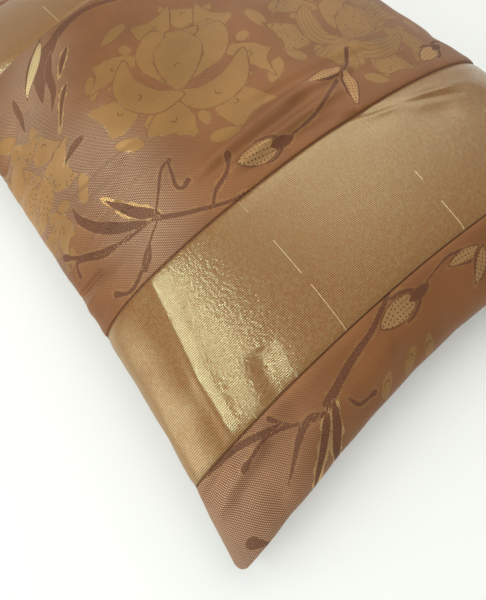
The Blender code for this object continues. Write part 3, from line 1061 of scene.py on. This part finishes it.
    motif = n.math("MAXIMUM", n.math("MAXIMUM", petal, bud), leaf_mask)
    plain = n.math("SUBTRACT", 1.0, motif)
    height = n.add(n.times(row, 0.07, plain), n.times(dot, 0.13, plain), n.times(dot, 0.12, opened_and_lit, plain), n.times(floats, 0.08, petal),
                   n.times(motif, 0.18), n.times(fray, 0.10))
    roughness = n.add(0.48, n.times(petal, -0.06), n.times(tone, 0.05), n.times(dot, plain, -0.20),
                      n.times(leaf_mask, 0.12), n.times(glint, -0.20), n.times(dotted_edge, -0.12))
    metallic = n.add(0.10, n.times(petal, 0.12), n.times(bud, 0.3), n.times(dotted_edge, 0.7),
                     n.times(glint, 0.7), n.times(dot, plain, 0.22))
    return n.finish(shade.outputs[2], roughness, n.bump(height, 0.8), metallic,
                    sheen=0.03, specular=0.33, tint=SATIN_TINT)


# %% [markdown]
# ## The gold ribbed bands
#
# The bands are a shot rib weave with a metallic yarn. Fine ribs run parallel to the seams, so each
# rib is a tiny mirror-like rod that throws the window light into a streak along the cushion. Small
# uneven spots in the yarn break that streak into sparkle.

# %% Gold band cloth
BAND_GOLD = (0.520, 0.200, 0.054, 1.0)
BAND_GROOVE_SHADE = (0.030, 0.009, 0.002, 1.0)
BAND_METAL = (0.540, 0.400, 0.180, 1.0)
BAND_INDEX = 2.1
RIB_PITCH = 1.50
WARP_PITCH = 0.95
TIGHT_SHOULDER = (46.0, 60.0)


def gold_cloth():
    n = Nodes("gold_rib")
    x, y = n.cloth_places()
    place = n.vector(x, y)
    rib_number = n.math("FLOOR", n.math("DIVIDE", y, RIB_PITCH))
    rib = n.math("ABSOLUTE", n.math("SINE", n.times(y, math.pi / RIB_PITCH)))
    rib = n.math("POWER", rib, 0.6)
    warp = n.wave(x, WARP_PITCH)
    spark = n.noise(n.vector(n.times(x, 0.38), n.times(rib_number, 1.7)), 1.0, 1.0)
    crinkle = n.noise(place, 0.30, 1.0)
    tone = n.noise(place, 0.018, 2.0)
    from_side = n.math("MINIMUM", x, n.math("SUBTRACT", CUT_WIDTH / MM, x))
    from_end = n.math("MINIMUM", y, n.math("SUBTRACT", CUT_LENGTH / MM, y))
    past_shoulder = n.add(from_side, n.times(from_end, -0.22), n.times(n.noise(place, 0.04, 1.0), 24.0))
    slack = n.ramp(past_shoulder, *TIGHT_SHOULDER)
    metal = n.times(n.ramp(spark, 0.42, 0.62), rib)
    crown = n.ramp(n.wave(y, RIB_PITCH, -math.pi / 2), 0.30, 0.66)
    # Painted shade: the grooves between the ribs are almost black.
    colour = n.mix(crown, BAND_GROOVE_SHADE, BAND_GOLD)
    colour = n.mix(n.times(metal, 0.25), colour, BAND_METAL)
    rough_weave = n.math("MULTIPLY_ADD", slack, 0.94, 0.06)
    height = n.add(n.times(rib, 0.11), n.times(warp, 0.02), n.times(spark, 0.24, rough_weave),
                   n.times(crinkle, 0.36, rough_weave))
    groove = n.ramp(rib, 0.62, 0.35)
    roughness = n.add(0.12, n.times(tone, 0.06), n.times(slack, 0.07), n.times(groove, 0.40))
    metallic = n.add(0.03, n.times(metal, 0.10))
    return n.finish(colour, roughness, n.bump(height, 0.9), metallic, specular=0.5,
                    tint=YARN_TINT, index=BAND_INDEX)


# %% Plain back cloth
BACK_BROWN = (0.270, 0.125, 0.058, 1.0)
BACK_DARK = (0.170, 0.075, 0.034, 1.0)


def back_cloth():
    n = Nodes("back_cloth")
    x, y = n.cloth_places()
    weave = n.times(n.wave(x, 1.1), n.wave(y, 1.1))
    tone = n.noise(n.vector(x, y), 0.02, 3.0)
    colour = n.mix(n.add(n.times(weave, 0.7), n.times(tone, 0.3)), BACK_DARK, BACK_BROWN)
    return n.finish(colour, 0.62, n.bump(n.times(weave, 0.12), 0.7), sheen=0.3)


# %% Yarn for the raised threads
SLUB_CREAM = (0.640, 0.480, 0.270, 1.0)
THREAD_BROWN = (0.235, 0.110, 0.045, 1.0)

floral_finish = floral_cloth()
gold_finish = gold_cloth()
back_finish = back_cloth()
slub_finish = Nodes("slub_yarn").finish(SLUB_CREAM, 0.5)
thread_finish = Nodes("sewing_thread").finish(THREAD_BROWN, 0.5)

# %% [markdown]
# ## Threads that stand up from the cloth
#
# A slub is a thick, pale place in a yarn, and the bands show several, all along the cushion. The
# rim seam shows its stitches where the two cloths meet. Both are many small pieces of yarn along a
# line, so one node tree makes them: it resamples a line, puts a short round piece of yarn at each
# point, turns it along the line and varies its size from a fixed seed.

# %% Slub lines on the cut cloth
SLUBS = (
    # panel, x, start y, end y, thickness; metres from the near left corner, thickness in millimetres
    ("near_band_cloth", 0.0750, 0.0665, 0.0805, 0.50),
    ("near_band_cloth", 0.0752, 0.1010, 0.1050, 0.30),
    ("near_band_cloth", 0.1170, 0.0665, 0.0775, 0.55),
    ("near_band_cloth", 0.1672, 0.0640, 0.1100, 0.42),
    ("near_band_cloth", 0.1670, 0.1230, 0.1560, 0.24),
    ("near_band_cloth", 0.1668, 0.1890, 0.2030, 0.50),
    ("near_band_cloth", 0.2960, 0.0650, 0.0960, 0.42),
    ("near_band_cloth", 0.2962, 0.1210, 0.1290, 0.30),
    ("near_band_cloth", 0.2958, 0.1800, 0.1970, 0.42),
    ("near_band_cloth", 0.4020, 0.0900, 0.1420, 0.36),
    ("far_band_cloth", 0.1620, 0.5010, 0.5470, 0.50),
    ("far_band_cloth", 0.3250, 0.5300, 0.6050, 0.42),
    ("far_band_cloth", 0.4260, 0.5050, 0.5400, 0.42),
)
SLUB_STEP = 0.0020
SLUB_SINK = 0.35
RIM_STITCH_STEP = 0.0016
RIM_FREE = 0.012


def on_panel(name, x, y):
    """Points on a panel's sheet at places on the cut cloth, with their outward directions."""
    points, cloth = panel_points[name], panel_cloth[name]
    normals = surface_normals(points)
    found, turned = [], []
    for place in zip(x, y):
        row, column = np.unravel_index(((cloth - place) ** 2).sum(axis=-1).argmin(), cloth.shape[:2])
        rows, columns = (np.clip((at - 1, at + 1), 0, size - 1)
                         for at, size in zip((row, column), cloth.shape[:2]))
        down = (cloth[rows[1], column] - cloth[rows[0], column]) / 2
        over = (cloth[row, columns[1]] - cloth[row, columns[0]]) / 2
        shift = np.linalg.solve(np.stack([down, over], axis=1), np.array(place) - cloth[row, column])
        step = (shift[0] * (points[rows[1], column] - points[rows[0], column]) / 2
                + shift[1] * (points[row, columns[1]] - points[row, columns[0]]) / 2)
        found.append(points[row, column] + step)
        turned.append(normals[row, column])
    return np.array(found), np.array(turned)


def rim_line(step):
    """Points along the rim seam, one line for each side."""
    lines = []
    for sign in (-1.0, 1.0):
        y = np.arange(-CUT_LENGTH / 2 + RIM_FREE, CUT_LENGTH / 2 - RIM_FREE, step)
        lines.append((np.full_like(y, sign * CUT_WIDTH / 2), y))
        x = np.arange(-CUT_WIDTH / 2 + RIM_FREE, CUT_WIDTH / 2 - RIM_FREE, step)
        lines.append((x, np.full_like(x, sign * CUT_LENGTH / 2)))
    return lines


# %% The node tree


def yarn_tree():
    """A node tree that lays short pieces of yarn along the lines of a mesh."""
    tree = bpy.data.node_groups.new("yarn_along_lines", "GeometryNodeTree")
    sockets = {}
    for name, kind in (("Lines", "NodeSocketGeometry"), ("Spacing", "NodeSocketFloat"),
                       ("Length", "NodeSocketFloat"), ("Thickness", "NodeSocketFloat"),
                       ("Unevenness", "NodeSocketFloat"), ("Seed", "NodeSocketInt"),
                       ("Yarn", "NodeSocketMaterial")):
        sockets[name] = tree.interface.new_socket(name=name, in_out="INPUT", socket_type=kind).identifier
    tree.interface.new_socket(name="Threads", in_out="OUTPUT", socket_type="NodeSocketGeometry")
    node = lambda kind: tree.nodes.new(kind)
    link = tree.links.new
    given, result = node("NodeGroupInput"), node("NodeGroupOutput")
    curve = node("GeometryNodeMeshToCurve")
    link(given.outputs["Lines"], curve.inputs[0])
    even = node("GeometryNodeResampleCurve")
    if "Mode" in even.inputs:
        even.inputs["Mode"].default_value = "Length"
    else:
        even.mode = "LENGTH"
    link(curve.outputs[0], even.inputs["Curve"])
    link(given.outputs["Spacing"], even.inputs["Length"])
    tangent = node("GeometryNodeInputTangent")
    turn = node("FunctionNodeAlignRotationToVector")
    turn.axis = "Z"
    link(tangent.outputs[0], turn.inputs["Vector"])
    piece = node("GeometryNodeMeshUVSphere")
    piece.inputs["Segments"].default_value = 6
    piece.inputs["Rings"].default_value = 4
    piece.inputs["Radius"].default_value = 0.5
    uneven = node("FunctionNodeRandomValue")
    link(given.outputs["Seed"], uneven.inputs["Seed"])
    low, high = node("ShaderNodeMath"), node("ShaderNodeMath")
    low.operation, high.operation = "SUBTRACT", "ADD"
    for bound, name in ((low, "Min"), (high, "Max")):
        bound.inputs[0].default_value = 1.0
        link(given.outputs["Unevenness"], bound.inputs[1])
        socket = [one for one in uneven.inputs if one.name == name and one.type == "VALUE"][0]
        link(bound.outputs[0], socket)
    thick = node("ShaderNodeMath")
    thick.operation = "MULTIPLY"
    share = [one for one in uneven.outputs if one.type == "VALUE"][0]
    link(given.outputs["Thickness"], thick.inputs[0])
    link(share, thick.inputs[1])
    size = node("ShaderNodeCombineXYZ")
    link(thick.outputs[0], size.inputs[0])
    link(thick.outputs[0], size.inputs[1])
    link(given.outputs["Length"], size.inputs[2])
    place = node("GeometryNodeInstanceOnPoints")
    link(even.outputs[0], place.inputs["Points"])
    link(piece.outputs[0], place.inputs["Instance"])
    link(turn.outputs[0], place.inputs["Rotation"])
    link(size.outputs[0], place.inputs["Scale"])
    whole = node("GeometryNodeRealizeInstances")
    link(place.outputs[0], whole.inputs[0])
    dressed = node("GeometryNodeSetMaterial")
    link(whole.outputs[0], dressed.inputs["Geometry"])
    link(given.outputs["Yarn"], dressed.inputs["Material"])
    link(dressed.outputs[0], result.inputs[0])
    return tree, sockets


YARN_TREE, YARN_SOCKETS = yarn_tree()


def yarn_piece(name, lines, spacing, length, thickness, unevenness, seed, yarn):
    """A plain mesh of yarn pieces along the given lines of points."""
    points, edges = [], []
    for line in lines:
        first = len(points)
        points.extend(map(tuple, line))
        edges.extend((first + step, first + step + 1) for step in range(len(line) - 1))
    guide = bpy.data.meshes.new(name + "_guide")
    guide.from_pydata(points, edges, [])
    carrier = bpy.data.objects.new(name + "_guide", guide)
    bpy.context.scene.collection.objects.link(carrier)
    modifier = carrier.modifiers.new("yarn", "NODES")
    modifier.node_group = YARN_TREE
    values = {"Spacing": spacing, "Length": length, "Thickness": thickness,
              "Unevenness": unevenness, "Seed": seed, "Yarn": yarn}
    for key, value in values.items():
        modifier[YARN_SOCKETS[key]] = value
    graph = bpy.context.evaluated_depsgraph_get()
    mesh = bpy.data.meshes.new_from_object(carrier.evaluated_get(graph))
    mesh.name = name
    mesh.materials.clear()
    mesh.materials.append(yarn)
    mesh.polygons.foreach_set("material_index", np.zeros(len(mesh.polygons), dtype=np.int32))
    mesh.shade_smooth()
    piece = bpy.data.objects.new(name, mesh)
    bpy.context.scene.collection.objects.link(piece)
    bpy.data.objects.remove(carrier)
    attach(piece, "root")
    print(name, len(mesh.polygons), "faces")
    return piece


# %% Make the slub threads and the rim stitches
for band in ("near_band_cloth", "far_band_cloth"):
    lines = []
    for name, x, start, end, thickness in SLUBS:
        if name != band:
            continue
        y = np.linspace(start, end, max(3, int((end - start) / SLUB_STEP)))
        points, normals = on_panel(name, np.full_like(y, x), y)
        lines.append(points + SLUB_SINK * thickness * MM * normals)
    yarn_piece(band.replace("cloth", "slubs"), lines, 0.0011, 0.0016, 0.00065,
                                   0.35, 4, slub_finish)
stitch_lines = []
for x, y in rim_line(RIM_STITCH_STEP):
    points = crowned(x, y, FRONT_CROWN)
    stitch_lines.append(points)
rim_stitches = yarn_piece("rim_stitches", stitch_lines, 0.0034, 0.0024, 0.0006, 0.1, 9,
                          thread_finish)

# %% Dress the sheets and the body
FINISHES = {"floral": (floral_finish, "floral_jacquard"), "gold": (gold_finish, "gold_rib")}
for name, solid, start, end, turn_start, turn_end, cloth_kind in PANELS:
    finish, slot = FINISHES[cloth_kind]
    piece = panel_pieces[name]
    piece.data.materials.append(finish)
body_piece.data.materials.append(back_finish)

# %% [markdown]
# ## Floor, camera and light
#
# The photograph was taken with a wide lens, close above the near left corner, and a large window
# stands on the left. The camera here has the same lens, place and tilt. One broad light stands for
# the window, a second one overhead fills the shadows, and a pale world does the rest.

# %% Floor
FLOOR_SIZE = 6.0
FLOOR_DROP = 0.0005


def make_floor():
    half = FLOOR_SIZE / 2
    corners = np.array([(-half, -half, -FLOOR_DROP), (half, -half, -FLOOR_DROP),
                        (half, half, -FLOOR_DROP), (-half, half, -FLOOR_DROP)])
    floor = mesh_object("floor", corners, np.array([[0, 1, 2, 3]]))
    n = Nodes("pale_floor")
    floor.data.materials.append(n.finish((0.96, 0.96, 0.96, 1.0), 0.8))
    return floor


make_floor()

# %% Camera
CAMERA_TURN = -27.6
CAMERA_HEIGHT_ANGLE = 69.15
CAMERA_ROLL = -11.23
CAMERA_DISTANCE = 0.2992
CAMERA_AIM = (-0.1140, -0.1887, SEAM_HEIGHT)
LENS_MM = 21.61


def make_camera():
    turn, rise, roll = (math.radians(angle) for angle in (CAMERA_TURN, CAMERA_HEIGHT_ANGLE, CAMERA_ROLL))
    back = np.array([math.sin(turn) * math.cos(rise), -math.cos(turn) * math.cos(rise), math.sin(rise)])
    level = unit(np.cross(-back, (0.0, 0.0, 1.0)))
    upward = np.cross(level, -back)
    right = math.cos(roll) * level + math.sin(roll) * upward
    up = -math.sin(roll) * level + math.cos(roll) * upward
    data = bpy.data.cameras.new("camera")
    data.lens = LENS_MM
    data.sensor_width = 36.0
    data.clip_start = 0.01
    camera = bpy.data.objects.new("camera", data)
    matrix = Matrix.Identity(4)
    for row in range(3):
        matrix[row][0], matrix[row][1], matrix[row][2] = right[row], up[row], back[row]
        matrix[row][3] = CAMERA_AIM[row] + CAMERA_DISTANCE * back[row]
    camera.matrix_world = matrix
    bpy.context.scene.collection.objects.link(camera)
    bpy.context.scene.camera = camera
    return camera


camera = make_camera()

# %% Light
LIGHTS = (
    # name, place, aim, width, height, power, colour
    ("window", (-1.00, 0.85, 1.70), (0.0, 1.06, 0.08), 4.3, 0.08, 30.0, (0.90, 1.0, 0.94)),
    ("sky", (1.90, 1.30, 2.40), (0.0, 0.0, 0.05), 3.6, 3.6, 68.0, (1.0, 0.96, 0.90)),
    ("left wall", (-2.30, -0.50, 0.90), (-0.10, -0.10, 0.05), 2.6, 1.3, 24.0, (1.0, 0.93, 0.84)),
)
WORLD_BRIGHTNESS = 0.24


def make_light(name, place, aim, width, height, power, colour):
    data = bpy.data.lights.new(name, "AREA")
    data.shape = "RECTANGLE"
    data.size, data.size_y = width, height
    data.energy = power
    data.color = colour
    light = bpy.data.objects.new(name, data)
    back = unit(np.array(place) - np.array(aim))
    right = unit(np.cross((0.0, 0.0, 1.0), back))
    up = np.cross(back, right)
    matrix = Matrix.Identity(4)
    for row in range(3):
        matrix[row][0], matrix[row][1], matrix[row][2] = right[row], up[row], back[row]
        matrix[row][3] = place[row]
    light.matrix_world = matrix
    bpy.context.scene.collection.objects.link(light)


for row in LIGHTS:
    make_light(*row)
world = bpy.data.worlds.new("studio")
world.use_nodes = True
world.node_tree.nodes["Background"].inputs[0].default_value = (1.0, 1.0, 1.0, 1.0)
world.node_tree.nodes["Background"].inputs[1].default_value = WORLD_BRIGHTNESS
bpy.context.scene.world = world
bpy.context.scene.view_settings.view_transform = "Standard"
